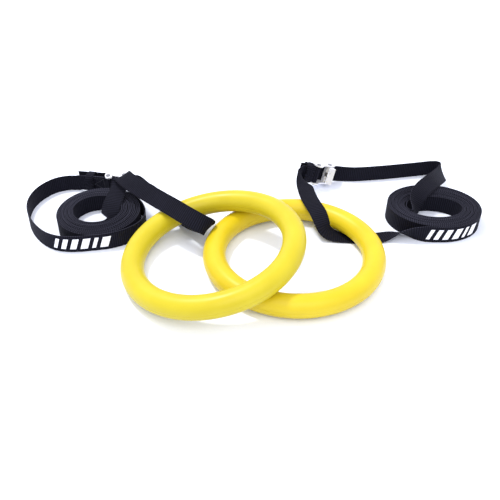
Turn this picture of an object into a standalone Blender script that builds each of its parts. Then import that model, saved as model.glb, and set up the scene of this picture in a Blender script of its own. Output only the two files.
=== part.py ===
"""Pair of gymnastics rings laid on a floor: two hollow moulded rings and two rolled webbing
straps with cam buckles.

Units are metres in the scene and millimetres in this file: MM turns one into the other.
The places below are written in a layout frame whose origin is the right ring's centre on the
floor. ORIGIN is where the object's own origin (middle of its footprint) lies in that layout.
"""
import math

import bmesh
import bpy
import numpy as np
from mathutils import Matrix, Vector

MM = 0.001
ORIGIN = Vector((-52.6, 50.5, 0.0))

# Driving dimensions, millimetres.
RING_RADIUS = 103.0          # centre circle of the ring's tube
TUBE_RADIUS = 14.7           # outside of the tube
SHELL_WALL = 3.0
RING_SEGMENTS = 48
TUBE_OUTER_STEPS = 8         # facets of one shell's outer half round
TUBE_INNER_STEPS = 4
WELD_GAP = 0.15              # each shell's rim stops this far from the equator

STRAP_WIDTH = 25.0
STRAP_THICKNESS = 1.5
STRAP_STEP = 7.5             # spacing of the sections along a strap run
EDGE_HEIGHT = 12.8           # centre of a strap that stands on its edge on the floor

CHEEK_INSIDE = 13.2          # half the clear width between the buckle's cheeks
CHEEK_THICKNESS = 2.0
PIN_RADIUS = 2.0
BAR_RADIUS = 2.0
HEAD_HEIGHT = 0.9
RUNNING_GAP = 0.3
PAD_RIDGES = 7               # grip ridges on the cam lever's thumb pad

# Ring places: centre on the plane of the floor, and the tilt of the ring's axis.
RIGHT_RING_PLACE = (0.0, 0.0)
RIGHT_RING_TILT = (-0.0105, -0.0055)
LEFT_RING_PLACE = (-103.6, -21.6)
LEFT_RING_TILT = (-0.1976, -0.0440)

# Buckle places: middle of the channel, direction along the strap, direction across it.
RIGHT_BUCKLE_PLACE = ((52.0, 197.0, 22.2), (0.88, 0.38, -0.28), (0.25, 0.20, 0.945))
LEFT_BUCKLE_PLACE = ((-254.0, 162.0, 18.3), (0.97, -0.22, 0.07), (-0.05, 0.00, 1.00))

# Buckle profile in its own plane: u runs along the strap, w from the base plate to the pad.
CHEEK_OUTLINE = [(-21, -4), (-18, -8.5), (-12, -11), (-4, -12.3), (5, -12.5), (14, -11.5),
                 (20, -9), (22, -5), (20, 0), (15, 4), (8, 5), (0, 4.5), (-6, 6.5),
                 (-9, 10.5), (-13, 11.5), (-17, 9.5), (-20, 4)]
BASE_PLATE = ((-7.0, 17.0), (-9.6, -7.6))      # (u range), (w range)
BAR_PLACE = (-14.0, 5.5)
PIN_PLACE = (9.0, 0.0)
BAND_LEVEL = -6.5                              # w of the strap's middle in the channel
BAND_ENTRY = 28.0                              # u where the strap lines up with the channel
CHANNEL_STEP = 6.0
WRAP_LEVELS = (-8.4, 8.4)                      # w range that the tail's wrap goes round
RIGHT_LEG, LEFT_LEG = 22.0, 42.0               # length of the doubled leg beyond the bar
RIGHT_WRAP, LEFT_WRAP = (-32.0, -24.0), (-52.0, -40.0)
RIGHT_TAIL_END, LEFT_TAIL_END = -38.0, -69.0

# Coils: centre, half sizes of the outside, then centre and half sizes of the hole.
RIGHT_COIL = ((204.0, 108.0), (64.5, 54.5), (203.0, 104.5), (42.0, 28.5))
LEFT_COIL = ((-267.5, 77.0), (54.5, 56.6), (-271.0, 81.0), (34.0, 35.0))
COIL_SEGMENTS = 48
COIL_HEIGHT = 25.0

UP = (0.0, 0.0, 1.0)

# Strap routes: (centre of the strap, direction across it). Each runs from the sewn eye
# towards the free end.
RIGHT_RING_RUN = [
    ((17.5, 168.5, 34.0), (-0.35, 0.35, 0.85)), ((19.5, 156.0, 34.2), (-0.75, 0.25, 0.60)),
    ((21.0, 140.0, 34.0), (-0.97, 0.00, 0.20)), ((23.0, 121.0, 33.9), (-0.97, -0.12, 0.08)),
    ((26.0, 104.0, 33.6), (-0.96, -0.27, 0.02)), ((30.5, 88.5, 32.9), (-0.93, -0.37, 0.00)),
    ((36.0, 74.3, 29.8), (-0.88, -0.47, -0.05)), ((40.6, 63.8, 22.5), (-0.80, -0.60, -0.05)),
    ((45.5, 58.0, 13.6), (-0.65, -0.75, -0.05)), ((55.0, 57.0, 6.1), (-0.40, -0.90, -0.05)),
    ((66.5, 56.8, 2.2), (-0.20, -0.98, 0.00)), ((80.0, 56.6, 1.1), (-0.05, -1.0, 0.00)),
    ((94.0, 56.0, 1.1), (0.03, -1.0, 0.00)), ((107.0, 56.1, 1.1), (0.10, -0.99, 0.00)),
    ((121.0, 58.0, 1.4), (0.15, -0.98, 0.02)), ((137.0, 61.0, 4.4), (0.10, -0.95, 0.25)),
    ((150.0, 60.2, 8.0), (0.05, -0.80, 0.60)), ((160.0, 57.0, 10.7), (0.03, -0.58, 0.81)),
    ((171.0, 54.0, 12.4), (0.00, -0.25, 0.97)), ((184.0, 52.3, EDGE_HEIGHT), UP),
    ((201.0, 51.6, EDGE_HEIGHT), UP)]
RIGHT_LEAD = [
    ((167.4, 116.5, EDGE_HEIGHT), UP), ((164.0, 105.0, EDGE_HEIGHT), UP),
    ((165.6, 96.8, EDGE_HEIGHT), UP), ((169.8, 93.8, 13.2), UP),
    ((173.8, 96.8, 14.6), (-0.03, 0.03, 1.0)), ((177.0, 103.0, 19.0), (-0.20, 0.15, 0.95)),
    ((179.5, 111.5, 26.0), (-0.45, 0.35, 0.80)), ((183.0, 121.0, 31.8), (-0.62, 0.48, 0.60)),
    ((190.0, 132.0, 34.8), (-0.66, 0.53, 0.52)), ((201.0, 146.5, 35.2), (-0.67, 0.54, 0.50)),
    ((213.5, 163.0, 33.2), (-0.67, 0.54, 0.50)), ((225.0, 181.0, 28.5), (-0.66, 0.54, 0.52)),
    ((235.5, 200.0, 22.5), (-0.60, 0.56, 0.58)), ((242.0, 214.0, 17.8), (-0.46, 0.56, 0.68)),
    ((245.0, 225.0, 15.0), (-0.32, 0.46, 0.82)), ((243.0, 233.5, 13.8), (-0.18, 0.26, 0.95)),
    ((237.5, 238.1, 13.3), (-0.06, 0.08, 1.0)), ((231.5, 239.2, 13.0), UP),
    ((226.0, 239.0, EDGE_HEIGHT), UP)]
RIGHT_BAND = [
    ((224.5, 238.8, EDGE_HEIGHT), UP), ((214.0, 236.0, EDGE_HEIGHT), UP),
    ((181.0, 228.0, EDGE_HEIGHT), UP), ((142.0, 219.5, EDGE_HEIGHT), UP),
    ((106.0, 213.8, EDGE_HEIGHT), UP), ((92.0, 213.8, EDGE_HEIGHT), (0.06, 0.04, 1.0)),
    ((83.0, 214.0, 13.0), (0.16, 0.12, 0.98))]
LEFT_OUTER_LOOP = [
    ((-320.0, 170.8, EDGE_HEIGHT), UP),
    ((-333.0, 170.0, EDGE_HEIGHT), UP), ((-350.0, 162.5, EDGE_HEIGHT), UP),
    ((-363.0, 147.0, EDGE_HEIGHT), UP), ((-371.0, 127.0, EDGE_HEIGHT), UP),
    ((-373.0, 105.0, EDGE_HEIGHT), UP), ((-369.0, 83.0, EDGE_HEIGHT), UP),
    ((-358.0, 58.0, EDGE_HEIGHT), UP), ((-342.0, 36.0, EDGE_HEIGHT), UP),
    ((-324.0, 20.5, EDGE_HEIGHT), UP), ((-305.0, 13.5, EDGE_HEIGHT), UP),
    ((-285.0, 13.4, EDGE_HEIGHT), UP), ((-264.0, 17.3, EDGE_HEIGHT), UP),
    ((-243.0, 22.5, EDGE_HEIGHT), UP), ((-224.0, 33.0, EDGE_HEIGHT), UP),
    ((-209.0, 49.0, EDGE_HEIGHT), UP), ((-203.0, 67.0, EDGE_HEIGHT), UP),
    ((-206.0, 88.0, EDGE_HEIGHT), UP), ((-216.0, 108.0, EDGE_HEIGHT), UP),
    ((-230.0, 123.0, EDGE_HEIGHT), UP), ((-245.0, 131.5, EDGE_HEIGHT), UP)]
LEFT_LEAD = [
    ((-262.0, 48.8, EDGE_HEIGHT), UP), ((-253.5, 53.5, EDGE_HEIGHT), (-0.02, 0.02, 1.0)),
    ((-249.5, 60.5, 13.8), (-0.15, 0.10, 0.98)), ((-251.0, 70.0, 17.0), (-0.60, 0.20, 0.75)),
    ((-252.3, 81.0, 21.5), (-0.95, 0.10, 0.22)), ((-251.3, 93.0, 27.2), (-1.0, 0.00, 0.05)),
    ((-248.8, 106.0, 31.0), (-0.99, 0.04, -0.03)), ((-247.4, 119.0, 34.2), (-0.97, 0.05, -0.13)),
    ((-247.0, 130.0, 37.6), (-0.95, -0.10, -0.22)), ((-246.0, 136.2, 42.5), (-0.90, -0.30, -0.32)),
    ((-242.0, 132.5, 48.2), (-0.78, -0.48, -0.36)), ((-234.5, 121.0, 50.0), (-0.66, -0.57, -0.42)),
    ((-225.0, 109.5, 50.4), (-0.58, -0.56, -0.55))]
LEFT_BAND = [
    ((-223.7, 108.1, 50.4), (-0.58, -0.56, -0.55)),
    ((-206.0, 90.0, 51.0), (-0.53, -0.51, -0.66)), ((-191.0, 75.0, 51.8), (-0.53, -0.51, -0.68)),
    ((-176.0, 60.5, 52.2), (-0.52, -0.52, -0.68)), ((-160.0, 46.5, 51.8), (-0.50, -0.54, -0.68)),
    ((-144.0, 33.5, 50.0), (-0.46, -0.57, -0.68)), ((-129.5, 25.5, 46.2), (-0.42, -0.62, -0.65)),
    ((-117.5, 24.0, 40.0), (-0.45, -0.68, -0.56)), ((-112.0, 28.5, 33.0), (-0.58, -0.70, -0.38)),
    ((-115.0, 37.5, 25.5), (-0.70, -0.68, -0.18)), ((-122.5, 48.5, 18.5), (-0.76, -0.65, -0.04)),
    ((-132.0, 60.5, 12.8), (-0.80, -0.60, 0.00)), ((-143.0, 76.0, 9.0), (-0.84, -0.54, 0.00)),
    ((-155.0, 93.0, 8.2), (-0.88, -0.45, 0.10)), ((-168.0, 111.0, 9.8), (-0.80, -0.35, 0.45)),
    ((-183.0, 130.0, 12.9), (-0.40, -0.25, 0.88)),
    ((-198.0, 143.5, EDGE_HEIGHT), (-0.05, 0.0, 1.0)),
    ((-212.0, 154.5, 14.5), (-0.04, 0.0, 1.0))]

YELLOW = (0.90, 0.66, 0.025, 1.0)
WEBBING_BLACK = (0.012, 0.012, 0.022, 1.0)
ZINC_WHITE = (0.82, 0.82, 0.86, 1.0)
STEEL = (0.55, 0.56, 0.58, 1.0)


def clear_scene():
    for old in list(bpy.data.objects):
        bpy.data.objects.remove(old, do_unlink=True)


def material(name, colour, roughness, metallic):
    finish = bpy.data.materials.new(name)
    finish.use_nodes = True
    shader = finish.node_tree.nodes["Principled BSDF"]
    shader.inputs["Base Color"].default_value = colour
    shader.inputs["Roughness"].default_value = roughness
    shader.inputs["Metallic"].default_value = metallic
    return finish


def placed(point):
    """A point of the layout, in millimetres, as a place in the object's frame, in metres."""
    return (Vector(point) - ORIGIN) * MM


def new_object(name, mesh, finish, smooth=True):
    mesh.materials.append(finish)
    item = bpy.data.objects.new(name, mesh)
    bpy.context.scene.collection.objects.link(item)
    if smooth:
        mesh.shade_smooth()
        mesh.set_sharp_from_angle(angle=math.radians(35))
    return item


def mesh_from(name, points, faces):
    mesh = bpy.data.meshes.new(name)
    mesh.from_pydata([tuple(point) for point in points], [], faces)
    build = bmesh.new()
    build.from_mesh(mesh)
    bmesh.ops.recalc_face_normals(build, faces=build.faces)
    build.to_mesh(mesh)
    build.free()
    return mesh


def loft(sections, closed):
    """Faces that join equal closed sections; an open run gets a cap at each end."""
    count = len(sections[0])
    points = [point for section in sections for point in section]
    spans = len(sections) if closed else len(sections) - 1
    faces = []
    for row in range(spans):
        here = row * count
        there = ((row + 1) % len(sections)) * count
        for k in range(count):
            after = (k + 1) % count
            faces.append((here + k, here + after, there + after, there + k))
    if not closed:
        faces.append(tuple(range(count)))
        faces.append(tuple(range(len(points) - count, len(points))))
    return points, faces


def smooth_run(stations, step):
    """Evenly spaced centres, headings and across directions on a curve through the stations."""
    centres = np.array([station[0] for station in stations], float)
    across = np.array([station[1] for station in stations], float)
    chord = np.linalg.norm(np.diff(centres, axis=0), axis=1) ** 0.5
    knots = np.concatenate([[0.0], np.cumsum(chord)])
    fine = np.linspace(0.0, knots[-1], 40 * len(stations))
    path = hermite(knots, centres, fine)
    turn = hermite(knots, across, fine)
    length = np.concatenate([[0.0], np.cumsum(np.linalg.norm(np.diff(path, axis=0), axis=1))])
    count = max(2, int(round(length[-1] / step)) + 1)
    even = np.linspace(0.0, length[-1], count)
    heading = np.gradient(path, axis=0)
    return [np.stack([np.interp(even, length, values[:, k]) for k in range(3)], 1)
            for values in (path, heading, turn)]


def hermite(knots, values, at):
    slopes = np.gradient(values, knots, axis=0)
    index = np.clip(np.searchsorted(knots, at, side="right") - 1, 0, len(knots) - 2)
    span = (knots[index + 1] - knots[index])[:, None]
    s = (at[:, None] - knots[index][:, None]) / span
    start, end = values[index], values[index + 1]
    rise_start, rise_end = slopes[index] * span, slopes[index + 1] * span
    return ((2 * s**3 - 3 * s**2 + 1) * start + (s**3 - 2 * s**2 + s) * rise_start
            + (3 * s**2 - 2 * s**3) * end + (s**3 - s**2) * rise_end)


def strap_run(name, stations, finish, thickness=STRAP_THICKNESS):
    """A flat strap swept along its route, as one closed solid."""
    path, heading, turn = smooth_run(stations, STRAP_STEP)
    sections = []
    for centre, along, across in zip(path, heading, turn):
        along = Vector(along).normalized()
        across = Vector(across)
        across = (across - along * across.dot(along)).normalized()
        face = along.cross(across)
        wide = across * STRAP_WIDTH / 2
        thick = face * thickness / 2
        middle = Vector(centre)
        corners = (middle - wide - thick, middle + wide - thick,
                   middle + wide + thick, middle - wide + thick)
        sections.append([placed(corner) for corner in corners])
    points, faces = loft(sections, closed=False)
    return new_object(name, mesh_from(name, points, faces), finish, smooth=False)


def coil(name, layout, finish):
    """The rolled turns as one closed oval ring that stands on its edge."""
    outer_centre, outer_half, hole_centre, hole_half = layout
    sections = []
    for k in range(COIL_SEGMENTS):
        angle = 2 * math.pi * k / COIL_SEGMENTS
        outside = (outer_centre[0] + outer_half[0] * math.cos(angle),
                   outer_centre[1] + outer_half[1] * math.sin(angle))
        inside = (hole_centre[0] + hole_half[0] * math.cos(angle),
                  hole_centre[1] + hole_half[1] * math.sin(angle))
        sections.append([placed((*spot, level)) for spot, level in (
            (inside, 0.0), (outside, 0.0), (outside, COIL_HEIGHT), (inside, COIL_HEIGHT))])
    points, faces = loft(sections, closed=True)
    return new_object(name, mesh_from(name, points, faces), finish, smooth=False)


def ring_axis(tilt):
    return Vector((tilt[0], tilt[1], 1.0)).normalized()


def ring_centre(place, tilt):
    """The ring's lowest point touches the floor, so its tilt sets its centre's height."""
    axis = ring_axis(tilt)
    rise = RING_RADIUS * math.sqrt(1.0 - axis.z ** 2)
    return Vector((place[0], place[1], TUBE_RADIUS + rise))


def ring_shell(name, place, tilt, side, finish):
    """Half of the hollow ring: a channel swept round the ring's axis. side is +1 or -1."""
    inner = TUBE_RADIUS - SHELL_WALL
    profile = []
    for radius, steps, order in ((TUBE_RADIUS, TUBE_OUTER_STEPS, 1),
                                 (inner, TUBE_INNER_STEPS, -1)):
        trim = math.asin(WELD_GAP / radius)
        angles = [trim + (math.pi - 2 * trim) * k / steps for k in range(steps + 1)]
        for angle in angles[::order]:
            profile.append((RING_RADIUS + radius * math.cos(angle),
                            side * radius * math.sin(angle)))
    sections = []
    for k in range(RING_SEGMENTS):
        turn = 2 * math.pi * k / RING_SEGMENTS
        sections.append([Vector((reach * math.cos(turn), reach * math.sin(turn), height)) * MM
                         for reach, height in profile])
    points, faces = loft(sections, closed=True)
    shell = new_object(name, mesh_from(name, points, faces), finish)
    shell.location = placed(ring_centre(place, tilt))
    shell.rotation_mode = "QUATERNION"
    shell.rotation_quaternion = Vector((0, 0, 1)).rotation_difference(ring_axis(tilt))
    return shell


def buckle_frame_matrix(place):
    """Matrix from buckle millimetres (u along, v across, w out of the base) to metres."""
    middle, along, across = place
    u = Vector(along).normalized()
    v = Vector(across)
    v = (v - u * v.dot(u)).normalized()
    w = u.cross(v)
    turn = Matrix((u, v, w)).transposed().to_4x4()
    return Matrix.Translation(placed(middle)) @ turn @ Matrix.Scale(MM, 4)


def in_buckle(place, u, v, w):
    """A buckle point in layout millimetres."""
    return buckle_frame_matrix(place) @ Vector((u, v, w)) / MM + ORIGIN


def prism(outline, low, high):
    """Closed solid: an outline in (u, w), from low to high along v."""
    bottom = [Vector((u, low, w)) for u, w in outline]
    top = [Vector((u, high, w)) for u, w in outline]
    return loft([bottom, top], closed=False)


def rectangle(u_range, w_range):
    return [(u_range[0], w_range[0]), (u_range[1], w_range[0]),
            (u_range[1], w_range[1]), (u_range[0], w_range[1])]


def circle(centre, radius, count=16):
    return [(centre[0] + radius * math.cos(2 * math.pi * k / count),
             centre[1] + radius * math.sin(2 * math.pi * k / count)) for k in range(count)]


def helper(points, faces):
    """A solid that is used up by a Boolean."""
    mesh = mesh_from("helper", points, faces)
    item = bpy.data.objects.new("helper", mesh)
    bpy.context.scene.collection.objects.link(item)
    item.hide_render = True
    item.display_type = "WIRE"
    return item


def combine(base, others, operation):
    for other in others:
        step = base.modifiers.new("cut", "BOOLEAN")
        step.operation = operation
        step.solver = "EXACT"
        step.object = other
    view = bpy.context.evaluated_depsgraph_get()
    result = bpy.data.meshes.new_from_object(base.evaluated_get(view))
    base.modifiers.clear()
    for other in others:
        bpy.data.objects.remove(other, do_unlink=True)
    return result


def finished_solid(name, base, place, pivot, finish):
    """Turn a helper in buckle millimetres into a named object whose origin is the pivot."""
    mesh = base.data.copy()
    bpy.data.objects.remove(base, do_unlink=True)
    to_world = buckle_frame_matrix(place)
    origin = to_world @ Vector((pivot[0], 0.0, pivot[1]))
    mesh.transform(Matrix.Translation(-origin) @ to_world)
    item = new_object(name, mesh, finish)
    item.location = origin
    return item


def buckle_frame(name, place, finish):
    """Channel: two humped cheeks joined by the base plate, bored for the pin and the bar."""
    outside = CHEEK_INSIDE + CHEEK_THICKNESS
    block = helper(*prism(CHEEK_OUTLINE, -outside, outside))
    slot = helper(*prism(rectangle((-40, 40), (BASE_PLATE[1][1], 40)),
                         -CHEEK_INSIDE, CHEEK_INSIDE))
    under = helper(*prism(rectangle((-40, 40), (-40, BASE_PLATE[1][0])),
                          -CHEEK_INSIDE, CHEEK_INSIDE))
    window = helper(*prism(rectangle((-40, BASE_PLATE[0][0]), (-30, 0)),
                           -CHEEK_INSIDE, CHEEK_INSIDE))
    mouth = helper(*prism(rectangle((BASE_PLATE[0][1], 40), (-30, 0)),
                          -CHEEK_INSIDE, CHEEK_INSIDE))
    pin_bore = helper(*prism(circle(PIN_PLACE, PIN_RADIUS + RUNNING_GAP), -40, 40))
    bar_bore = helper(*prism(circle(BAR_PLACE, BAR_RADIUS + RUNNING_GAP), -40, 40))
    block.data = combine(block, [slot, under, window, mouth, pin_bore, bar_bore], "DIFFERENCE")
    return finished_solid(name, block, place, (0.0, 0.0), finish)


def headed_rod(name, place, centre, radius, head, finish):
    """A riveted rod: a shaft through both cheeks with a low head outside each of them."""
    reach = CHEEK_INSIDE + CHEEK_THICKNESS + RUNNING_GAP
    steps = [(-reach - HEAD_HEIGHT, head), (-reach, head), (-reach, radius),
             (reach, radius), (reach, head), (reach + HEAD_HEIGHT, head)]
    count = 16
    sections = [[Vector((u, level, w)) for u, w in circle(centre, size, count)]
                for level, size in steps]
    rod = helper(*loft(sections, closed=False))
    return finished_solid(name, rod, place, centre, finish)


def cam_lever(name, place, finish):
    """Toothed eccentric on the pin, with a ridged thumb pad over it."""
    half = CHEEK_INSIDE - 0.5
    pu, pw = PIN_PLACE
    hub = 4.4
    outline = [(pu + hub * math.cos(math.radians(a)), pw + hub * math.sin(math.radians(a)))
               for a in range(-60, 31, 30)]
    outline += [(pu + 4.4, pw + 5.0), (pu + 4.6, pw + 11.6)]
    for k in range(PAD_RIDGES):
        reach = 3.8 - 1.3 * k
        outline += [(pu + reach, pw + 13.4 - 0.42 * k), (pu + reach - 0.65, pw + 12.5 - 0.42 * k)]
    outline += [(pu - 5.6, pw + 9.8), (pu - 5.0, pw + 8.4), (pu - 1.6, pw + 8.0)]
    outline += [(pu + hub * math.cos(math.radians(a)), pw + hub * math.sin(math.radians(a)))
                for a in (120, 150, 180)]
    tooth_tip = BAND_LEVEL + STRAP_THICKNESS / 2 + RUNNING_GAP
    for k in range(3):
        start = pu - 4.6 + 1.9 * k
        outline += [(start, tooth_tip + 0.9 + 0.25 * (2 - k)), (start + 0.9, tooth_tip)]
    outline.append((pu + 1.4, tooth_tip + 0.9))
    body = helper(*prism(outline, -half, half))
    bore = helper(*prism(circle(PIN_PLACE, PIN_RADIUS + RUNNING_GAP), -40, 40))
    spring_slot = helper(*prism(rectangle((pu - 8, pu + 3.5), (pw - 3.4, pw + 5.5)), -3.4, 3.4))
    body.data = combine(body, [bore, spring_slot], "DIFFERENCE")
    return finished_solid(name, body, place, PIN_PLACE, finish)


def cam_spring(name, place, finish):
    """Torsion spring as its outer shape: a sleeve round the pin in the cam's slot."""
    outer, inner, half = 3.1, PIN_RADIUS + RUNNING_GAP, 3.0
    count = 16
    sections = []
    for k in range(count):
        angle = 2 * math.pi * k / count
        sections.append([Vector((PIN_PLACE[0] + size * math.cos(angle), level,
                                 PIN_PLACE[1] + size * math.sin(angle)))
                         for size, level in ((inner, -half), (outer, -half),
                                             (outer, half), (inner, half))])
    sleeve = helper(*loft(sections, closed=True))
    return finished_solid(name, sleeve, place, PIN_PLACE, finish)


def strap_eye(name, place, finish, reach):
    """The strap's sewn end: an eye round the bar and the doubled, stitched leg behind it."""
    half = STRAP_WIDTH / 2
    bu, bw = BAR_PLACE
    hole = BAR_RADIUS + RUNNING_GAP
    eye = helper(*prism(circle(BAR_PLACE, hole + STRAP_THICKNESS, 20), -half, half))
    leg = helper(*prism(rectangle((bu - reach, bu - 1.0),
                                  (bw - STRAP_THICKNESS, bw + STRAP_THICKNESS)), -half, half))
    eye.data = combine(eye, [leg], "UNION")
    bore = helper(*prism(circle(BAR_PLACE, hole), -40, 40))
    eye.data = combine(eye, [bore], "DIFFERENCE")
    return finished_solid(name, eye, place, BAR_PLACE, finish)


def strap_keeper(name, place, u_range, finish):
    """The free end's wrap: one flat turn round the doubled leg and the tail behind it."""
    half = STRAP_WIDTH / 2 + RUNNING_GAP
    wall = STRAP_THICKNESS
    low, high = WRAP_LEVELS
    outer = helper(*prism(rectangle(u_range, (low - wall, high + wall)),
                          -half - wall, half + wall))
    inner = helper(*prism(rectangle((-90, 90), WRAP_LEVELS), -half, half))
    outer.data = combine(outer, [inner], "DIFFERENCE")
    return finished_solid(name, outer, place, (sum(u_range) / 2, 0.0), finish)


def channel_band(place, exit_u, stop_u):
    """Stations of the strap inside the buckle, between the base plate and the cam's teeth."""
    across = tuple(Vector(place[2]))
    count = int((exit_u - stop_u) / CHANNEL_STEP) + 1
    return [(tuple(in_buckle(place, u, 0.0, BAND_LEVEL)), across)
            for u in np.linspace(exit_u, stop_u, count)]


def leg_end(place, reach):
    """First stations of a strap run, in line with the doubled leg that it continues."""
    start = BAR_PLACE[0] - reach - 2 * RUNNING_GAP
    return [(tuple(in_buckle(place, u, 0.0, BAR_PLACE[1])), tuple(Vector(place[2])))
            for u in (start, start - 4.0)]


def make_ring(side, place, tilt, finish):
    ring_shell(side + "_ring_top_shell", place, tilt, 1, finish)
    ring_shell(side + "_ring_bottom_shell", place, tilt, -1, finish)


def make_buckle(side, place, zinc, steel, webbing, leg_reach):
    buckle_frame(side + "_buckle_frame", place, zinc)
    headed_rod(side + "_cam_pin", place, PIN_PLACE, PIN_RADIUS, 3.2, steel)
    headed_rod(side + "_strap_bar", place, BAR_PLACE, BAR_RADIUS, 3.2, steel)
    cam_lever(side + "_cam_lever", place, zinc)
    cam_spring(side + "_cam_spring", place, steel)
    strap_eye(side + "_strap_sewn_eye", place, webbing, leg_reach)


def main():
    clear_scene()
    plastic = material("yellow_plastic", YELLOW, 0.38, 0.0)
    webbing = material("black_webbing", WEBBING_BLACK, 0.85, 0.0)
    zinc = material("bright_zinc", ZINC_WHITE, 0.28, 0.9)
    steel = material("steel", STEEL, 0.35, 1.0)

    make_ring("right", RIGHT_RING_PLACE, RIGHT_RING_TILT, plastic)
    make_ring("left", LEFT_RING_PLACE, LEFT_RING_TILT, plastic)

    right, left = RIGHT_BUCKLE_PLACE, LEFT_BUCKLE_PLACE
    make_buckle("right", right, zinc, steel, webbing, leg_reach=RIGHT_LEG)
    make_buckle("left", left, zinc, steel, webbing, leg_reach=LEFT_LEG)

    strap_run("right_strap_ring_run", leg_end(right, RIGHT_LEG) + RIGHT_RING_RUN, webbing)
    coil("right_strap_coil", RIGHT_COIL, webbing)
    strap_run("right_strap_lead", RIGHT_LEAD, webbing)
    right_channel = channel_band(right, BAND_ENTRY, RIGHT_TAIL_END)
    strap_run("right_strap_band", RIGHT_BAND + right_channel, webbing)

    strap_run("left_strap_outer_loop", leg_end(left, LEFT_LEG) + LEFT_OUTER_LOOP, webbing)
    coil("left_strap_coil", LEFT_COIL, webbing)
    strap_run("left_strap_lead", LEFT_LEAD, webbing)
    left_channel = channel_band(left, BAND_ENTRY, LEFT_TAIL_END)
    strap_run("left_strap_band", LEFT_BAND + left_channel, webbing)

    strap_keeper("right_strap_tail_wrap", right, RIGHT_WRAP, webbing)
    strap_keeper("left_strap_tail_wrap", left, LEFT_WRAP, webbing)


main()
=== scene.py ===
"""Looks of a pair of gymnastics rings on a white studio floor: smooth moulded rings, woven
straps rolled up turn by turn, and bright cam buckles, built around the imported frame.

The strap routes are the CAD model's own, in its layout frame: millimetres, origin under the
right ring's centre. ORIGIN is where the object's origin lies in that layout.
"""
import math

import bmesh
import bpy
import numpy as np
from mathutils import Matrix, Vector


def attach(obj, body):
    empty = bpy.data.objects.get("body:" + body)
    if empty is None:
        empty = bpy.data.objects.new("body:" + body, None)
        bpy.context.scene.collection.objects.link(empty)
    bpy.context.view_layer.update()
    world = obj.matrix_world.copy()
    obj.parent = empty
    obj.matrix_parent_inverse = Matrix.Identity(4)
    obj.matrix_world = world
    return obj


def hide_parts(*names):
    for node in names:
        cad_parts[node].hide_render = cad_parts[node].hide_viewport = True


MM = 0.001
ORIGIN = Vector((-52.6, 50.5, 0.0))
UP = (0.0, 0.0, 1.0)

# Rings
RING_RADIUS = 103.0
TUBE_RADIUS = 14.7
SHELL_WALL = 3.0
RING_STEPS = 180             # sections round the ring
OUTER_STEPS = 30             # points of a half tube's outside
SEAM_DEPTH = 0.16
SEAM_WIDTH = 0.55
RIGHT_RING = ((0.0, 0.0), (-0.0105, -0.0055))
LEFT_RING = ((-103.6, -21.6), (-0.1976, -0.0440))

# Straps
STRAP_WIDTH = 25.0
STRAP_THICKNESS = 1.45       # a little under the CAD solids', to keep clear of them
EDGE_HEIGHT = 12.8
SECTION_STEP = 2.0           # spacing of the sections on a straight stretch
TURN_WEIGHT = 7.0            # extra sections in a bend: as many as this much length a radian
TURN_STATIONS = 28           # stations of one turn of a coil

# Buckles: middle of the channel, direction along the strap, direction across it.
RIGHT_BUCKLE = ((52.0, 197.0, 22.2), (0.88, 0.38, -0.28), (0.25, 0.20, 0.945))
LEFT_BUCKLE = ((-254.0, 162.0, 18.3), (0.97, -0.22, 0.07), (-0.05, 0.00, 1.00))
BAR_PLACE = (-14.0, 5.5)
BAND_LEVEL = -6.5
BAND_ENTRY = 28.0
CHANNEL_STEP = 6.0
EYE_RADIUS = 3.1             # middle of the webbing where it goes round the bar
STITCH_SPACING = 2.6
STITCH_HALF = (1.0, 0.32, 0.22)                # half length, width and height of a stitch
WRAP_STATIONS = 20           # stations of one turn of a tail's wrap
WRAP_ADVANCE = 1.2           # how far a turn moves along the strap
WRAP_THICKNESS = 1.7
RIGHT_LEG, LEFT_LEG = 22.0, 42.0
RIGHT_TAIL_END, LEFT_TAIL_END = -38.0, -69.0

# Coils: centre and half sizes of the outside, centre and half sizes of the hole.
RIGHT_COIL = ((204.0, 108.0), (64.5, 54.5), (203.0, 104.5), (42.0, 28.5))
LEFT_COIL = ((-267.5, 77.0), (54.5, 56.6), (-271.0, 81.0), (34.0, 35.0))
# Where a coil starts and ends: (degrees, depth), depth 0 at the outside and 1 at the hole.
RIGHT_TURNS = ((-92.7, -0.087), (152.5 + 13 * 360, 1.076))
LEFT_TURNS = ((67.4, -0.140), (286.3 + 12 * 360, 1.057))

RIGHT_RING_RUN = [
    ((17.5, 168.5, 34.0), (-0.35, 0.35, 0.85)), ((19.5, 156.0, 34.2), (-0.75, 0.25, 0.60)),
    ((21.0, 140.0, 34.0), (-0.97, 0.00, 0.20)), ((23.0, 121.0, 33.9), (-0.97, -0.12, 0.08)),
    ((26.0, 104.0, 33.6), (-0.96, -0.27, 0.02)), ((30.5, 88.5, 32.9), (-0.93, -0.37, 0.00)),
    ((36.0, 74.3, 29.8), (-0.88, -0.47, -0.05)), ((40.6, 63.8, 22.5), (-0.80, -0.60, -0.05)),
    ((45.5, 58.0, 13.6), (-0.65, -0.75, -0.05)), ((55.0, 57.0, 6.1), (-0.40, -0.90, -0.05)),
    ((66.5, 56.8, 2.2), (-0.20, -0.98, 0.00)), ((80.0, 56.6, 1.1), (-0.05, -1.0, 0.00)),
    ((94.0, 56.0, 1.1), (0.03, -1.0, 0.00)), ((107.0, 56.1, 1.1), (0.10, -0.99, 0.00)),
    ((121.0, 58.0, 1.4), (0.15, -0.98, 0.02)), ((137.0, 61.0, 4.4), (0.10, -0.95, 0.25)),
    ((150.0, 60.2, 8.0), (0.05, -0.80, 0.60)), ((160.0, 57.0, 10.7), (0.03, -0.58, 0.81)),
    ((171.0, 54.0, 12.4), (0.00, -0.25, 0.97)), ((184.0, 52.3, EDGE_HEIGHT), UP),
    ((201.0, 51.6, EDGE_HEIGHT), UP)]
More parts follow.
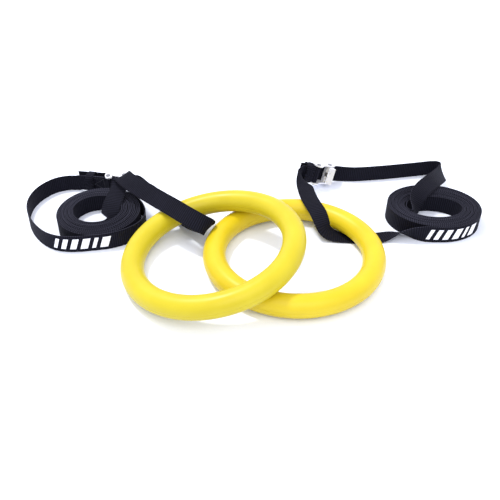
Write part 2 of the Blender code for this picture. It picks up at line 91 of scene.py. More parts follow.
RIGHT_LEAD = [
    ((167.4, 116.5, EDGE_HEIGHT), UP), ((164.0, 105.0, EDGE_HEIGHT), UP),
    ((165.6, 96.8, EDGE_HEIGHT), UP), ((169.8, 93.8, 13.2), UP),
    ((173.8, 96.8, 14.6), (-0.03, 0.03, 1.0)), ((177.0, 103.0, 19.0), (-0.20, 0.15, 0.95)),
    ((179.5, 111.5, 26.0), (-0.45, 0.35, 0.80)), ((183.0, 121.0, 31.8), (-0.62, 0.48, 0.60)),
    ((190.0, 132.0, 34.8), (-0.66, 0.53, 0.52)), ((201.0, 146.5, 35.2), (-0.67, 0.54, 0.50)),
    ((213.5, 163.0, 33.2), (-0.67, 0.54, 0.50)), ((225.0, 181.0, 28.5), (-0.66, 0.54, 0.52)),
    ((235.5, 200.0, 22.5), (-0.60, 0.56, 0.58)), ((242.0, 214.0, 17.8), (-0.46, 0.56, 0.68)),
    ((245.0, 225.0, 15.0), (-0.32, 0.46, 0.82)), ((243.0, 233.5, 13.8), (-0.18, 0.26, 0.95)),
    ((237.5, 238.1, 13.3), (-0.06, 0.08, 1.0)), ((231.5, 239.2, 13.0), UP),
    ((226.0, 239.0, EDGE_HEIGHT), UP)]
RIGHT_BAND = [
    ((214.0, 236.0, EDGE_HEIGHT), UP),
    ((181.0, 228.0, EDGE_HEIGHT), UP), ((142.0, 219.5, EDGE_HEIGHT), UP),
    ((106.0, 213.8, EDGE_HEIGHT), UP), ((92.0, 213.8, EDGE_HEIGHT), (0.06, 0.04, 1.0)),
    ((83.0, 214.0, 13.0), (0.16, 0.12, 0.98))]
LEFT_OUTER_LOOP = [
    ((-320.0, 170.8, EDGE_HEIGHT), UP),
    ((-333.0, 170.0, EDGE_HEIGHT), UP), ((-350.0, 162.5, EDGE_HEIGHT), UP),
    ((-363.0, 147.0, EDGE_HEIGHT), UP), ((-371.0, 127.0, EDGE_HEIGHT), UP),
    ((-373.0, 105.0, EDGE_HEIGHT), UP), ((-369.0, 83.0, EDGE_HEIGHT), UP),
    ((-358.0, 58.0, EDGE_HEIGHT), UP), ((-342.0, 36.0, EDGE_HEIGHT), UP),
    ((-324.0, 20.5, EDGE_HEIGHT), UP), ((-305.0, 13.5, EDGE_HEIGHT), UP),
    ((-285.0, 13.4, EDGE_HEIGHT), UP), ((-264.0, 17.3, EDGE_HEIGHT), UP),
    ((-243.0, 22.5, EDGE_HEIGHT), UP), ((-224.0, 33.0, EDGE_HEIGHT), UP),
    ((-209.0, 49.0, EDGE_HEIGHT), UP), ((-203.0, 67.0, EDGE_HEIGHT), UP),
    ((-206.0, 88.0, EDGE_HEIGHT), UP), ((-216.0, 108.0, EDGE_HEIGHT), UP),
    ((-230.0, 123.0, EDGE_HEIGHT), UP)]
LEFT_LEAD = [
    ((-262.0, 48.8, EDGE_HEIGHT), UP), ((-253.5, 53.5, EDGE_HEIGHT), (-0.02, 0.02, 1.0)),
    ((-249.5, 60.5, 13.8), (-0.15, 0.10, 0.98)), ((-251.0, 70.0, 17.0), (-0.60, 0.20, 0.75)),
    ((-252.3, 81.0, 21.5), (-0.95, 0.10, 0.22)), ((-251.3, 93.0, 27.2), (-1.0, 0.00, 0.05)),
    ((-248.8, 106.0, 31.0), (-0.99, 0.04, -0.03)), ((-247.4, 119.0, 34.2), (-0.97, 0.05, -0.13)),
    ((-247.0, 130.0, 37.6), (-0.95, -0.10, -0.22)), ((-246.0, 136.2, 42.5), (-0.90, -0.30, -0.32)),
    ((-242.0, 132.5, 48.2), (-0.78, -0.48, -0.36)), ((-234.5, 121.0, 50.0), (-0.66, -0.57, -0.42)),
    ((-225.0, 109.5, 50.4), (-0.58, -0.56, -0.55))]
LEFT_BAND = [
    ((-223.7, 108.1, 50.4), (-0.58, -0.56, -0.55)),
    ((-206.0, 90.0, 51.0), (-0.53, -0.51, -0.66)), ((-191.0, 75.0, 51.8), (-0.53, -0.51, -0.68)),
    ((-176.0, 60.5, 52.2), (-0.52, -0.52, -0.68)), ((-160.0, 46.5, 51.8), (-0.50, -0.54, -0.68)),
    ((-144.0, 33.5, 50.0), (-0.46, -0.57, -0.68)), ((-129.5, 25.5, 46.2), (-0.42, -0.62, -0.65)),
    ((-117.5, 24.0, 40.0), (-0.45, -0.68, -0.56)), ((-112.0, 28.5, 33.0), (-0.58, -0.70, -0.38)),
    ((-115.0, 37.5, 25.5), (-0.70, -0.68, -0.18)), ((-122.5, 48.5, 18.5), (-0.76, -0.65, -0.04)),
    ((-132.0, 60.5, 12.8), (-0.80, -0.60, 0.00)), ((-143.0, 76.0, 9.0), (-0.84, -0.54, 0.00)),
    ((-155.0, 93.0, 8.2), (-0.88, -0.45, 0.10)), ((-168.0, 111.0, 9.8), (-0.80, -0.35, 0.45)),
    ((-183.0, 130.0, 12.9), (-0.40, -0.25, 0.88)),
    ((-198.0, 143.5, EDGE_HEIGHT), (-0.05, 0.0, 1.0)),
    ((-212.0, 154.5, 14.5), (-0.04, 0.0, 1.0))]

RIB_PITCH = 2.9              # cross ribs of the webbing, millimetres

# Camera, in the layout frame: place in millimetres, angles in radians.
CAMERA_PLACE = (-56.9, -644.8, 496.4)
CAMERA_PITCH = 0.6376
CAMERA_ROLL = 0.02
CAMERA_LENS = 44.71


def placed(point):
    """A point of the layout, in millimetres, as a place in the object's frame, in metres."""
    return (Vector(point) - ORIGIN) * MM


# ---------------------------------------------------------------- material helpers

class Nodes:
    """Short calls for building one material's node tree."""

    def __init__(self, name):
        self.material = bpy.data.materials.new(name)
        self.material.use_nodes = True
        self.tree = self.material.node_tree
        self.shader = self.tree.nodes["Principled BSDF"]

    def add(self, kind, **settings):
        node = self.tree.nodes.new(kind)
        for key, value in settings.items():
            setattr(node, key, value)
        return node

    def link(self, source, target):
        self.tree.links.new(source, target)

    def math(self, operation, first, second=0.0):
        node = self.add("ShaderNodeMath", operation=operation)
        for socket, value in zip(node.inputs, (first, second)):
            self.feed(socket, value)
        return node.outputs[0]

    def feed(self, socket, value):
        if isinstance(value, bpy.types.NodeSocket):
            self.link(value, socket)
        else:
            socket.default_value = value

    def attribute(self, name):
        return self.add("ShaderNodeAttribute", attribute_name=name).outputs["Fac"]

    def wave(self, value, period):
        """0 to 1 and back once each period."""
        turn = self.math("MULTIPLY", value, 2 * math.pi / period)
        return self.half_wave(turn)

    def half_wave(self, turn):
        sine = self.math("SINE", turn)
        return self.math("ADD", self.math("MULTIPLY", sine, 0.5), 0.5)

    def noise(self, scale, detail=2.0, vector=None):
        node = self.add("ShaderNodeTexNoise")
        node.inputs["Scale"].default_value = scale
        node.inputs["Detail"].default_value = detail
        if vector is None:
            vector = self.add("ShaderNodeTexCoord").outputs["Object"]
        self.link(vector, node.inputs["Vector"])
        return node.outputs["Fac"]

    def mix(self, amount, low, high):
        node = self.add("ShaderNodeMix", data_type="RGBA")
        self.feed(node.inputs[0], amount)
        self.feed(node.inputs[6], low)
        self.feed(node.inputs[7], high)
        return node.outputs[2]

    def spread(self, value, low, high, low_out=0.0, high_out=1.0):
        """value from low..high as low_out..high_out, clamped."""
        node = self.add("ShaderNodeMapRange")
        for socket, number in zip(node.inputs[1:5], (low, high, low_out, high_out)):
            socket.default_value = number
        self.link(value, node.inputs[0])
        return node.outputs[0]

    def bump(self, height, distance, strength=1.0, before=None):
        node = self.add("ShaderNodeBump")
        node.inputs["Distance"].default_value = distance
        node.inputs["Strength"].default_value = strength
        self.link(height, node.inputs["Height"])
        if before is not None:
            self.link(before, node.inputs["Normal"])
        return node.outputs["Normal"]

    def set(self, **values):
        for key, value in values.items():
            self.feed(self.shader.inputs[key.replace("_", " ").title().replace("Ior", "IOR")], value)


def webbing_material(name):
    """Black polyester webbing: cross ribs, fine warp yarns, denser selvedges; painted light and shade on
    the weave's crests and grooves, and a painted highlight on the edges' side faces.
    """
    n = Nodes(name)
    along = n.attribute("along")
    across = n.attribute("across")
    ribs = n.wave(along, RIB_PITCH)
    row = n.math("FLOOR", n.math("DIVIDE", along, RIB_PITCH / 2))
    shift = n.math("MULTIPLY", row, math.pi / 2)
    yarn = n.half_wave(n.math("ADD", n.math("MULTIPLY", across, 2 * math.pi / 1.6), shift))
    edge = n.spread(n.math("ABSOLUTE", across), 10.9, 11.7)
    fuzz = n.noise(900.0, 3.0)
    patch = n.noise(22.0, 2.0)
    # painted light and shade: the weave's colour runs lighter on the rib and yarn crests and darker in
    # the grooves
    weave = n.math("ADD", n.math("MULTIPLY", ribs, 0.62), n.math("MULTIPLY", yarn, 0.38))
    weave = n.math("MULTIPLY", weave, n.spread(edge, 0.0, 1.0, 1.0, 0.45))
    lit = n.math("MULTIPLY", weave, n.spread(fuzz, 0.3, 0.7, 0.7, 1.15))
    lit = n.math("MULTIPLY", lit, n.spread(patch, 0.3, 0.7, 0.8, 1.15))
    cloth = n.mix(lit, (0.0003, 0.0003, 0.0010, 1), (0.0135, 0.0135, 0.0245, 1))
    # painted highlight: the side faces of the edges are painted lighter, so each coiled turn shows a lit
    # line from above
    rim = n.spread(n.math("ABSOLUTE", across), 12.0, 12.4)
    rim_yarn = n.wave(along, RIB_PITCH)
    rim_highlight_cloth = n.mix(rim_yarn, (0.0060, 0.0060, 0.0110, 1), (0.0380, 0.0380, 0.0560, 1))
    n.set(base_color=n.mix(rim, cloth, rim_highlight_cloth))
    height = n.math("ADD", weave, n.math("MULTIPLY", fuzz, 0.25))
    n.set(normal=n.bump(height, 0.00030, 0.9))
    n.set(roughness=n.spread(weave, 0.0, 1.0, 0.90, 0.70))
    n.shader.inputs["Specular IOR Level"].default_value = 0.08
    n.shader.inputs["Sheen Weight"].default_value = 0.02
    n.shader.inputs["Sheen Roughness"].default_value = 0.45
    n.shader.inputs["Sheen Tint"].default_value = (0.80, 0.80, 1.0, 1.0)
    return n.material


def plastic_material(name, light, shade):
    """Moulded yellow plastic: satin gloss, a faint mottle and a fine grain in the surface."""
    n = Nodes(name)
    mottle = n.noise(38.0, 3.0)
    flow = n.noise(7.0, 2.0)
    n.set(base_color=n.mix(n.spread(n.math("ADD", mottle, flow), 0.75, 1.25), shade, light))
    grain = n.noise(1500.0, 2.0)
    waves = n.noise(120.0, 1.0)
    n.set(normal=n.bump(n.math("ADD", n.math("MULTIPLY", grain, 0.5), waves), 0.00006, 0.8))
    n.set(roughness=n.spread(mottle, 0.35, 0.65, 0.34, 0.44))
    n.shader.inputs["Specular IOR Level"].default_value = 0.30
    return n.material


def zinc_material(name):
    """Bright zinc plating: pale, softly reflecting, with a faint cloudiness."""
    n = Nodes(name)
    cloud = n.noise(260.0, 4.0)
    n.set(base_color=n.mix(cloud, (0.74, 0.74, 0.79, 1), (0.92, 0.92, 0.95, 1)))
    n.set(roughness=n.spread(cloud, 0.3, 0.7, 0.26, 0.42))
    n.set(normal=n.bump(n.noise(1100.0, 2.0), 0.00004, 0.6))
    n.shader.inputs["Metallic"].default_value = 0.35
    return n.material


def steel_material(name):
    """Drawn steel wire and rivets, with fine lines round them."""
    n = Nodes(name)
    lines = n.noise(2400.0, 2.0)
    n.set(base_color=n.mix(lines, (0.20, 0.20, 0.22, 1), (0.36, 0.36, 0.39, 1)))
    n.set(roughness=n.spread(lines, 0.3, 0.7, 0.24, 0.40))
    n.set(normal=n.bump(lines, 0.00003, 0.6))
    n.shader.inputs["Metallic"].default_value = 1.0
    return n.material


def ink_material(name):
    """White transfer print that follows the webbing's ribs."""
    n = Nodes(name)
    ribs = n.wave(n.attribute("along"), RIB_PITCH)
    wear = n.noise(700.0, 3.0)
    n.set(base_color=n.mix(n.spread(wear, 0.25, 0.5), (0.70, 0.70, 0.78, 1), (0.90, 0.90, 0.93, 1)))
    n.set(normal=n.bump(ribs, 0.00012, 0.6))
    n.set(roughness=0.5)
    return n.material


def thread_material(name):
    """Black bonded thread of the box stitching."""
    n = Nodes(name)
    twist = n.noise(3000.0, 2.0)
    n.set(base_color=n.mix(twist, (0.010, 0.010, 0.015, 1), (0.045, 0.045, 0.060, 1)))
    n.set(normal=n.bump(twist, 0.00008, 0.8))
    n.set(roughness=0.55)
    return n.material


def floor_material(name):
    n = Nodes(name)
    n.set(base_color=n.mix(n.noise(3.0, 1.0), (0.86, 0.89, 0.99, 1), (0.87, 0.90, 1.0, 1)))
    n.set(roughness=0.9)
    n.shader.inputs["Specular IOR Level"].default_value = 0.1
    return n.material


# ---------------------------------------------------------------- mesh helpers

def new_piece(name, points, faces, finish, smooth_angle=40.0):
    mesh = bpy.data.meshes.new(name)
    mesh.from_pydata([tuple(point) for point in points], [], faces)
    build = bmesh.new()
    build.from_mesh(mesh)
    bmesh.ops.recalc_face_normals(build, faces=build.faces)
    build.to_mesh(mesh)
    build.free()
    mesh.materials.append(finish)
    mesh.shade_smooth()
    mesh.set_sharp_from_angle(angle=math.radians(smooth_angle))
    piece = bpy.data.objects.new(name, mesh)
    bpy.context.scene.collection.objects.link(piece)
    return piece


def loft(rows, count, closed):
    """Faces that join rows of count points each; an open run gets a cap at each end."""
    faces = []
    for row in range(rows if closed else rows - 1):
        here = row * count
        there = ((row + 1) % rows) * count
        for k in range(count):
            after = (k + 1) % count
            faces.append((here + k, here + after, there + after, there + k))
    if not closed:
        faces.append(tuple(range(count)))
        faces.append(tuple(range((rows - 1) * count, rows * count)))
    return faces


def add_values(piece, name, values):
    layer = piece.data.attributes.new(name, "FLOAT", "POINT")
    layer.data.foreach_set("value", np.asarray(values, np.float32))


def hermite(knots, values, at):
    slopes = np.gradient(values, knots, axis=0)
    index = np.clip(np.searchsorted(knots, at, side="right") - 1, 0, len(knots) - 2)
    span = (knots[index + 1] - knots[index])[:, None]
    s = (at[:, None] - knots[index][:, None]) / span
    start, end = values[index], values[index + 1]
    rise_start, rise_end = slopes[index] * span, slopes[index + 1] * span
    return ((2 * s**3 - 3 * s**2 + 1) * start + (s**3 - 2 * s**2 + s) * rise_start
            + (3 * s**2 - 2 * s**3) * end + (s**3 - s**2) * rise_end)


def unit(vectors):
    return vectors / np.linalg.norm(vectors, axis=-1, keepdims=True)


class Route:
    """A strap's route: centres, across directions and face directions at even lengths."""

    def __init__(self, stations, step=SECTION_STEP, turn_weight=TURN_WEIGHT):
        centres = np.array([station[0] for station in stations], float)
        across = np.array([station[1] for station in stations], float)
        chord = np.linalg.norm(np.diff(centres, axis=0), axis=1) ** 0.5
        knots = np.concatenate([[0.0], np.cumsum(chord)])
        fine = np.concatenate([np.linspace(a, b, 16, endpoint=False)
                               for a, b in zip(knots[:-1], knots[1:])] + [knots[-1:]])
        path = hermite(knots, centres, fine)
        wide = hermite(knots, unit(across), fine)
        heading = unit(np.gradient(path, axis=0))
        wide = unit(wide - heading * np.sum(wide * heading, axis=1, keepdims=True))
        steps = np.linalg.norm(np.diff(path, axis=0), axis=1)
        cosines = np.clip(np.sum(heading[1:] * heading[:-1], axis=1), -1.0, 1.0)
        twists = np.clip(np.sum(wide[1:] * wide[:-1], axis=1), -1.0, 1.0)
        bend = np.arccos(cosines) + np.arccos(twists)
        length = np.concatenate([[0.0], np.cumsum(steps)])
        effort = np.concatenate([[0.0], np.cumsum(steps + turn_weight * bend)])
        count = int(effort[-1] / step) + 1
        at = np.interp(np.linspace(0.0, effort[-1], count), effort, length)
        self.total = length[-1]
        self.fine = (length, path, heading, wide)
        self.length = at
        self.path, self.heading, self.wide = (self.sample(at, k) for k in (1, 2, 3))
        self.heading = unit(self.heading)
        self.wide = unit(self.wide)
        self.face = np.cross(self.heading, self.wide)

    def sample(self, at, which):
        values = self.fine[which]
        return np.stack([np.interp(at, self.fine[0], values[:, k]) for k in range(3)], 1)

    def on_face(self, along, across, lift):
        """Points at these lengths along the strap and places across it, off its face."""
        path, heading, wide = (self.sample(np.asarray(along, float), k) for k in (1, 2, 3))
        heading, wide = unit(heading), unit(wide)
        face = np.cross(heading, wide)
        return path + wide * np.asarray(across)[:, None] + face * np.asarray(lift)[:, None]

    def nearest(self, point):
        """Length along the strap of the place nearest to a point."""
        distance = np.linalg.norm(self.fine[1] - np.array(point), axis=1)
        return self.fine[0][int(np.argmin(distance))]


def webbing_profile(width=STRAP_WIDTH, thickness=STRAP_THICKNESS):
    """Cross-section of the webbing: flat middle and slightly thicker, rounded selvedges."""
    half = width / 2
    flat, bead = thickness * 0.46, thickness * 0.52
    side = [(half, 0.0), (half - 0.10, bead * 0.62), (half - 0.45, bead * 0.95), (half - 1.0, bead),
            (half - 1.7, flat), (half * 0.45, flat)]
    mirrored = [(-across, lift) for across, lift in side[::-1]]
    top = side + mirrored
    bottom = [(across, -lift) for across, lift in top[::-1][1:-1]]
    return top + bottom


def ribbon(name, route, finish, profile=None):
    """A strap swept along its route as one closed mesh, with its weave's coordinates."""
    profile = profile or webbing_profile()
    count = len(profile)
    rows = len(route.path)
    wide = np.array([point[0] for point in profile])
    lift = np.array([point[1] for point in profile])
    points = (route.path[:, None] + route.wide[:, None] * wide[None, :, None]
              + route.face[:, None] * lift[None, :, None])
    flat = points.reshape(-1, 3)
    piece = new_piece(name, [placed(point) for point in flat], loft(rows, count, closed=False), finish)
    add_values(piece, "along", np.repeat(route.length, count))
    add_values(piece, "across", np.tile(wide, rows))
    return piece


# ---------------------------------------------------------------- strap routes

def buckle_axes(place):
    """Middle of a buckle's channel and its directions u, v and w, in layout millimetres."""
    middle, along, across = place
    u = Vector(along).normalized()
    v = Vector(across)
    v = (v - u * v.dot(u)).normalized()
    return Vector(middle), u, v, u.cross(v)


def in_buckle(place, u, v, w):
    middle, along, across, out = buckle_axes(place)
    return tuple(middle + along * u + across * v + out * w)


def channel_band(place, exit_u, stop_u):
    across = tuple(Vector(place[2]))
    count = int((exit_u - stop_u) / CHANNEL_STEP) + 1
    return [(in_buckle(place, u, 0.0, BAND_LEVEL), across)
            for u in np.linspace(exit_u, stop_u, count)]


def sewn_end(place, reach):
    """The strap's cut end, its turn round the bar, and the second layer back along the leg."""
    across = tuple(Vector(place[2]))
    bu, bw = BAR_PLACE
    layer = STRAP_THICKNESS * 0.56
    route = [(bu - reach + 2.5, bw - layer), (bu - reach * 0.6, bw - layer),
             (bu - 6.5, bw - layer - 0.1)]
    for degrees in range(-125, 126, 25):
        angle = math.radians(degrees)
        route.append((bu + EYE_RADIUS * math.cos(angle), bw + EYE_RADIUS * math.sin(angle)))
    route += [(bu - 6.5, bw + layer + 0.1), (bu - reach * 0.6, bw + layer),
              (bu - reach, bw + layer * 0.6), (bu - reach - 5.0, bw)]
    return [(in_buckle(place, u, 0.0, w), across) for u, w in route]


def spiral(coil, turns):
    """Stations of the rolled turns, anticlockwise from the outside in."""
    outer, outer_half, hole, hole_half = coil
    (start, first), (end, last) = turns
    count = int((end - start) / 360 * TURN_STATIONS)
    stations = []
    for k in range(1, count + 1):
        share = k / count
        degrees = start + (end - start) * share
        angle = math.radians(degrees)
        depth = first + (last - first) * share
        spot = [o + (h - o) * depth + (oh + (hh - oh) * depth) * side
                for o, h, oh, hh, side in zip(outer, hole, outer_half, hole_half,
                                              (math.cos(angle), math.sin(angle)))]
        settle = math.sin(math.pi * share)
        turn = degrees / 360
        rise = 0.55 * settle * (1 + math.sin(2.1 * turn * math.pi) * math.cos(5 * turn))
        sway = 0.25 * settle * math.sin(angle * 3 + 4 * turn)
        lean = 0.012 * settle * math.sin(angle * 2 + turn)
        spot = [spot[0] + sway * math.cos(angle), spot[1] + sway * math.sin(angle)]
        stations.append(((spot[0], spot[1], EDGE_HEIGHT + rise),
                         (lean * math.cos(angle), lean * math.sin(angle), 1.0)))
    return stations


# ---------------------------------------------------------------- pieces

def ring_half(name, place, side, finish):
    """One half shell of the hollow ring, with the weld's shallow groove at its rims."""
    spot, tilt = place
    axis = Vector((tilt[0], tilt[1], 1.0)).normalized()
    rise = RING_RADIUS * math.sqrt(1.0 - axis.z ** 2)
    centre = Vector((spot[0], spot[1], TUBE_RADIUS + rise))
    turned = Vector((0, 0, 1)).rotation_difference(axis).to_matrix()
    profile = []
    seam_angle = SEAM_WIDTH / TUBE_RADIUS
    angles = [0.004, seam_angle * 0.5, seam_angle]
    angles += [seam_angle + (math.pi - 2 * seam_angle) * k / OUTER_STEPS
               for k in range(1, OUTER_STEPS)]
    angles += [math.pi - angle for angle in (seam_angle, seam_angle * 0.5, 0.004)]
    for angle in angles:
        near = min(angle, math.pi - angle) / seam_angle
        radius = TUBE_RADIUS - SEAM_DEPTH * max(0.0, 1.0 - near) ** 0.7
        profile.append((RING_RADIUS + radius * math.cos(angle), side * radius * math.sin(angle)))
    inner = TUBE_RADIUS - SHELL_WALL
    for k in range(9):
        angle = math.pi - math.pi * k / 8
        height = max(0.06, inner * math.sin(angle))
        profile.append((RING_RADIUS + inner * math.cos(angle), side * height))
    points = []
    for k in range(RING_STEPS):
        turn = 2 * math.pi * k / RING_STEPS
        for reach, height in profile:
            local = Vector((reach * math.cos(turn), reach * math.sin(turn), height))
            points.append(placed(centre + turned @ local))
    return new_piece(name, points, loft(RING_STEPS, len(profile), closed=True), finish, 50.0)


def make_ring(side, place, finish):
    body = side + "_ring"
    for half, sign in (("top", 1), ("bottom", -1)):
        node = f"{body}_{half}_shell"
        shell = ring_half(f"{body}_{half}_moulding", place, sign, finish)
        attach(shell, body)
        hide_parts(node)


def printed_bars(name, route, middle, bars, face_side, finish):
    """Slanted bars printed on the strap's face, placed from the middle of the mark."""
    points, faces, marks = [], [], []
    lift = face_side * (STRAP_THICKNESS * 0.46 + 0.07)
    rows = 10
    for start, end, low, high, slant in bars:
        base = len(points)
        columns = max(2, int((end - start) / 1.0) + 1)
        alongs, acrosses = [], []
        for row in range(rows + 1):
            across = low + (high - low) * row / rows
            for column in range(columns + 1):
                along = start + (end - start) * column / columns + slant * across
                alongs.append(middle + along)
                acrosses.append(across)
        front = route.on_face(alongs, acrosses, np.full(len(alongs), lift))
        back = route.on_face(alongs, acrosses, np.full(len(alongs), lift - face_side * 0.05))
        size = len(alongs)
        points += [placed(point) for point in np.concatenate([front, back])]
        marks += alongs + alongs
        width = columns + 1
        for row in range(rows):
            for column in range(columns):
                a = base + row * width + column
                quad = (a, a + 1, a + 1 + width, a + width)
                faces.append(quad)
                faces.append(tuple(index + size for index in quad[::-1]))
        rim = ([column for column in range(width)]
               + [row * width + columns for row in range(1, rows + 1)]
               + [rows * width + column for column in range(columns - 1, -1, -1)]
               + [row * width for row in range(rows - 1, 0, -1)])
        for first, second in zip(rim, rim[1:] + rim[:1]):
            faces.append((base + first, base + second, base + second + size, base + first + size))
    piece = new_piece(name, points, faces, finish)
    add_values(piece, "along", marks)
    return piece


def box_stitching(name, place, reach, finish):
    """A box with a cross in it, sewn through both layers of the leg: one bead a stitch."""
    bu, bw = BAR_PLACE
    left, right = bu - reach + 4.0, bu - 8.0
    high = 9.5
    corners = [(left, -high), (right, -high), (right, high), (left, high)]
    lines = list(zip(corners, corners[1:] + corners[:1]))
    lines += [(corners[0], corners[2]), (corners[1], corners[3])]
    middle, u, v, w = buckle_axes(place)
    points, faces = [], []
    for (u0, v0), (u1, v1) in lines:
        run = math.hypot(u1 - u0, v1 - v0)
        count = max(2, int(run / STITCH_SPACING))
        direction = (u * (u1 - u0) + v * (v1 - v0)).normalized()
        for side in (1, -1):
            for k in range(count):
                share = (k + 0.5) / count
                spot = middle + u * (u0 + (u1 - u0) * share) + v * (v0 + (v1 - v0) * share)
                spot += w * (bw + side * (STRAP_THICKNESS * 1.02 + 0.05))
                add_bead(points, faces, spot, direction, w * side, *STITCH_HALF)
    return new_piece(name, points, faces, finish, 60.0)


def add_bead(points, faces, centre, direction, out, half, width, height):
    """One rounded stitch: an eight-sided bead that tapers to both ends."""
    sideways = direction.cross(out).normalized()
    base = len(points)
    rings = [(-1.0, 0.25), (-0.6, 0.9), (0.0, 1.0), (0.6, 0.9), (1.0, 0.25)]
    sides = 8
    for step, size in rings:
        for k in range(sides):
            angle = 2 * math.pi * k / sides
            points.append(placed(centre + direction * half * step
                                 + sideways * width * size * math.cos(angle)
                                 + out * height * size * math.sin(angle)))
    for face in loft(len(rings), sides, closed=False):
        faces.append(tuple(base + index for index in face))


def tail_wrap(name, place, turns, width, finish):
    """The free end's wrap: narrow gathered turns of webbing round the leg and the tail.

    Each turn is its middle along u, its lean, and its half sizes along v and w.
    """
    middle, u, v, w = buckle_axes(place)
    stations = []
    for centre_u, lean, half_v, half_w in turns:
        for k in range(WRAP_STATIONS):
            angle = math.pi / 2 + 2 * math.pi * k / WRAP_STATIONS
            cosine, sine = math.cos(angle), math.sin(angle)
            flat = max(abs(cosine), abs(sine)) ** 0.55
            spot = (middle + u * (centre_u + lean * sine + WRAP_ADVANCE * k / WRAP_STATIONS)
                    + v * (half_v * cosine / flat) + w * (half_w * sine / flat))
            across = u + v * (0.10 * lean * cosine)
            stations.append((tuple(spot), tuple(across)))
    route = Route(stations, 1.4, 4.0)
    profile = webbing_profile(width, WRAP_THICKNESS)
    return ribbon(name, route, finish, profile)


def make_strap(side, place, leg, loop, coil, turns, lead, band, tail_end, finish):
    """The whole strap of one set, from the sewn end to the free end, as one ribbon."""
    stations = (sewn_end(place, leg) + loop + spiral(coil, turns) + lead + band
                + channel_band(place, BAND_ENTRY, tail_end))
    route = Route(stations)
    strap = ribbon(f"{side}_strap", route, finish)
    run = "ring_run" if side == "right" else "outer_loop"
    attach(strap, side + "_set")
    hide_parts(*[f"{side}_strap_{part}" for part in ("sewn_eye", run, "coil", "lead", "band")])
    return strap, route


def finish_nodes(nodes, finishes):
    """CAD nodes that stay: a small bevel on their edges and the material of their slot."""
    for name, node in nodes.items():
        slot = next((slot for key, slot in (("frame", "zinc"), ("cam_lever", "zinc"), ("pin", "steel"),
                                            ("bar", "steel"), ("spring", "steel")) if key in name), None)
        if slot is None:
            continue
        node.data.materials.clear()
        node.data.materials.append(finishes[slot])
        bevel = node.modifiers.new("soft edges", "BEVEL")
        bevel.width = 0.35 * MM
        bevel.segments = 2
        bevel.limit_method = "ANGLE"
        bevel.angle_limit = math.radians(35)
        bevel.use_clamp_overlap = True
        bevel.harden_normals = True


# ---------------------------------------------------------------- stage

def make_floor(finish):
    half = 2.6
    grid = 8
    points = [(half * (2 * i / grid - 1), half * (2 * j / grid - 1), -0.0001)
              for j in range(grid + 1) for i in range(grid + 1)]
    faces = [(j * (grid + 1) + i, j * (grid + 1) + i + 1, (j + 1) * (grid + 1) + i + 1,
              (j + 1) * (grid + 1) + i) for j in range(grid) for i in range(grid)]
    floor = new_piece("studio_floor", points, faces, finish)


def area_light(name, place, target, size, power, colour):
    lamp = bpy.data.lights.new(name, "AREA")
    lamp.shape = "DISK"
    lamp.size = size
    lamp.energy = power
    lamp.color = colour
    item = bpy.data.objects.new(name, lamp)
    item.location = place
    item.rotation_euler = (Vector(target) - Vector(place)).to_track_quat("-Z", "Y").to_euler()
    bpy.context.scene.collection.objects.link(item)


def make_lights():
    world = bpy.data.worlds.new("studio")
    bpy.context.scene.world = world
    world.use_nodes = True
    sky = world.node_tree.nodes["Background"]
    sky.inputs["Color"].default_value = (0.93, 0.94, 1.0, 1.0)
    sky.inputs["Strength"].default_value = 1.28
    area_light("key", (-0.85, 0.55, 2.2), (0.0, 0.0, 0.0), 0.40, 38.0, (1.0, 1.0, 0.98))
    area_light("fill", (0.3, -1.4, 1.8), (0.0, 0.0, 0.0), 1.8, 16.0, (1.0, 1.0, 1.0))


def make_camera():
    pitch, roll = CAMERA_PITCH, CAMERA_ROLL
    forward = Vector((0.0, math.cos(pitch), -math.sin(pitch)))
    right = Vector((1.0, 0.0, 0.0))
    up = Vector((0.0, math.sin(pitch), math.cos(pitch)))
    right_rolled = right * math.cos(roll) + up * math.sin(roll)
    up_rolled = up * math.cos(roll) - right * math.sin(roll)
    turned = Matrix((right_rolled, up_rolled, -forward)).transposed().to_4x4()
    camera = bpy.data.cameras.new("camera")
    camera.lens = CAMERA_LENS
    camera.sensor_width = 36.0
    camera.clip_start = 0.01
    item = bpy.data.objects.new("camera", camera)
    item.matrix_world = Matrix.Translation(placed(CAMERA_PLACE)) @ turned
    bpy.context.scene.collection.objects.link(item)
    bpy.context.scene.camera = item


# ---------------------------------------------------------------- the scene

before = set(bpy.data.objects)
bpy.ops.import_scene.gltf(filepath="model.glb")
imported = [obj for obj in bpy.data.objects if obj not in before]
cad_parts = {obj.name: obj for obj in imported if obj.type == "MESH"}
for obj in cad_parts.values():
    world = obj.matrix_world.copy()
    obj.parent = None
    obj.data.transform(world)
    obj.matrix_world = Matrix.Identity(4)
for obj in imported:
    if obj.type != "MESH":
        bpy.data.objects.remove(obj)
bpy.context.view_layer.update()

bpy.context.scene.view_settings.view_transform = "Standard"
bpy.context.scene.view_settings.look = "None"

make_camera()
make_lights()
make_floor(floor_material("studio_white"))

webbing = webbing_material("webbing")
left_yellow = plastic_material("yellow_left", (0.545, 0.450, 0.016, 1), (0.505, 0.408, 0.011, 1))
right_yellow = plastic_material("yellow_right", (0.615, 0.475, 0.014, 1), (0.575, 0.430, 0.009, 1))
zinc = zinc_material("zinc")
steel = steel_material("steel_wire")
ink = ink_material("white_print")
thread = thread_material("thread")

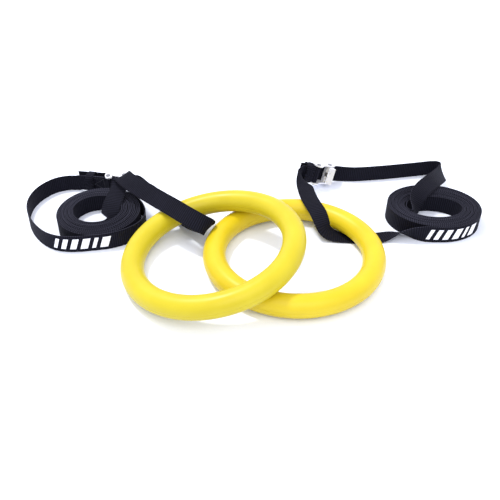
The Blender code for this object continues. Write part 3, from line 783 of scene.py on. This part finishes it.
make_ring("right", RIGHT_RING, right_yellow)
make_ring("left", LEFT_RING, left_yellow)

right_strap, right_route = make_strap("right", RIGHT_BUCKLE, RIGHT_LEG, RIGHT_RING_RUN, RIGHT_COIL,
                                      RIGHT_TURNS, RIGHT_LEAD, RIGHT_BAND, RIGHT_TAIL_END, webbing)
left_strap, left_route = make_strap("left", LEFT_BUCKLE, LEFT_LEG, LEFT_OUTER_LOOP, LEFT_COIL,
                                    LEFT_TURNS, LEFT_LEAD, LEFT_BAND, LEFT_TAIL_END, webbing)

# Printed bars: start and end along the strap, low and high across it, slant.
BARS = [(-36.0, -31.0, -7.8, 7.8, 0.35), (-25.5, -19.0, -7.8, 7.8, 0.35),
        (-13.5, -5.5, -7.8, 7.8, 0.35), (0.0, 9.5, -7.8, 7.8, 0.35), (15.0, 20.0, -7.8, 7.8, 0.35),
        (25.5, 36.0, -7.8, 7.8, 0.35)]
right_mark = printed_bars("right_strap_print", right_route, right_route.nearest((222.5, 54.0, 12.8)),
                          BARS, 1, ink)
left_mark = printed_bars("left_strap_print", left_route, left_route.nearest((-278.0, 14.4, 12.8)),
                         BARS, 1, ink)
right_stitches = box_stitching("right_strap_stitches", RIGHT_BUCKLE, RIGHT_LEG, thread)
left_stitches = box_stitching("left_strap_stitches", LEFT_BUCKLE, LEFT_LEG, thread)

right_wrap = tail_wrap("right_tail_knot", RIGHT_BUCKLE,
                       [(-28.5, 3.0, 13.8, 8.8), (-29.5, -3.0, 14.0, 9.4)],
                       9.0, webbing)
left_wrap = tail_wrap("left_tail_knot", LEFT_BUCKLE,
                      [(-45.0, 0.6, 13.5, 9.6), (-46.0, -0.6, 13.6, 10.4)],
                      11.0, webbing)

for side, pieces in (("right", (right_mark, right_stitches, right_wrap)),
                     ("left", (left_mark, left_stitches, left_wrap))):
    for piece in pieces:
        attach(piece, side + "_set")
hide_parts("right_strap_tail_wrap")
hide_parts("left_strap_tail_wrap")

finish_nodes(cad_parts, {"zinc": zinc, "steel": steel})

print("strap lengths", round(right_route.total), round(left_route.total))
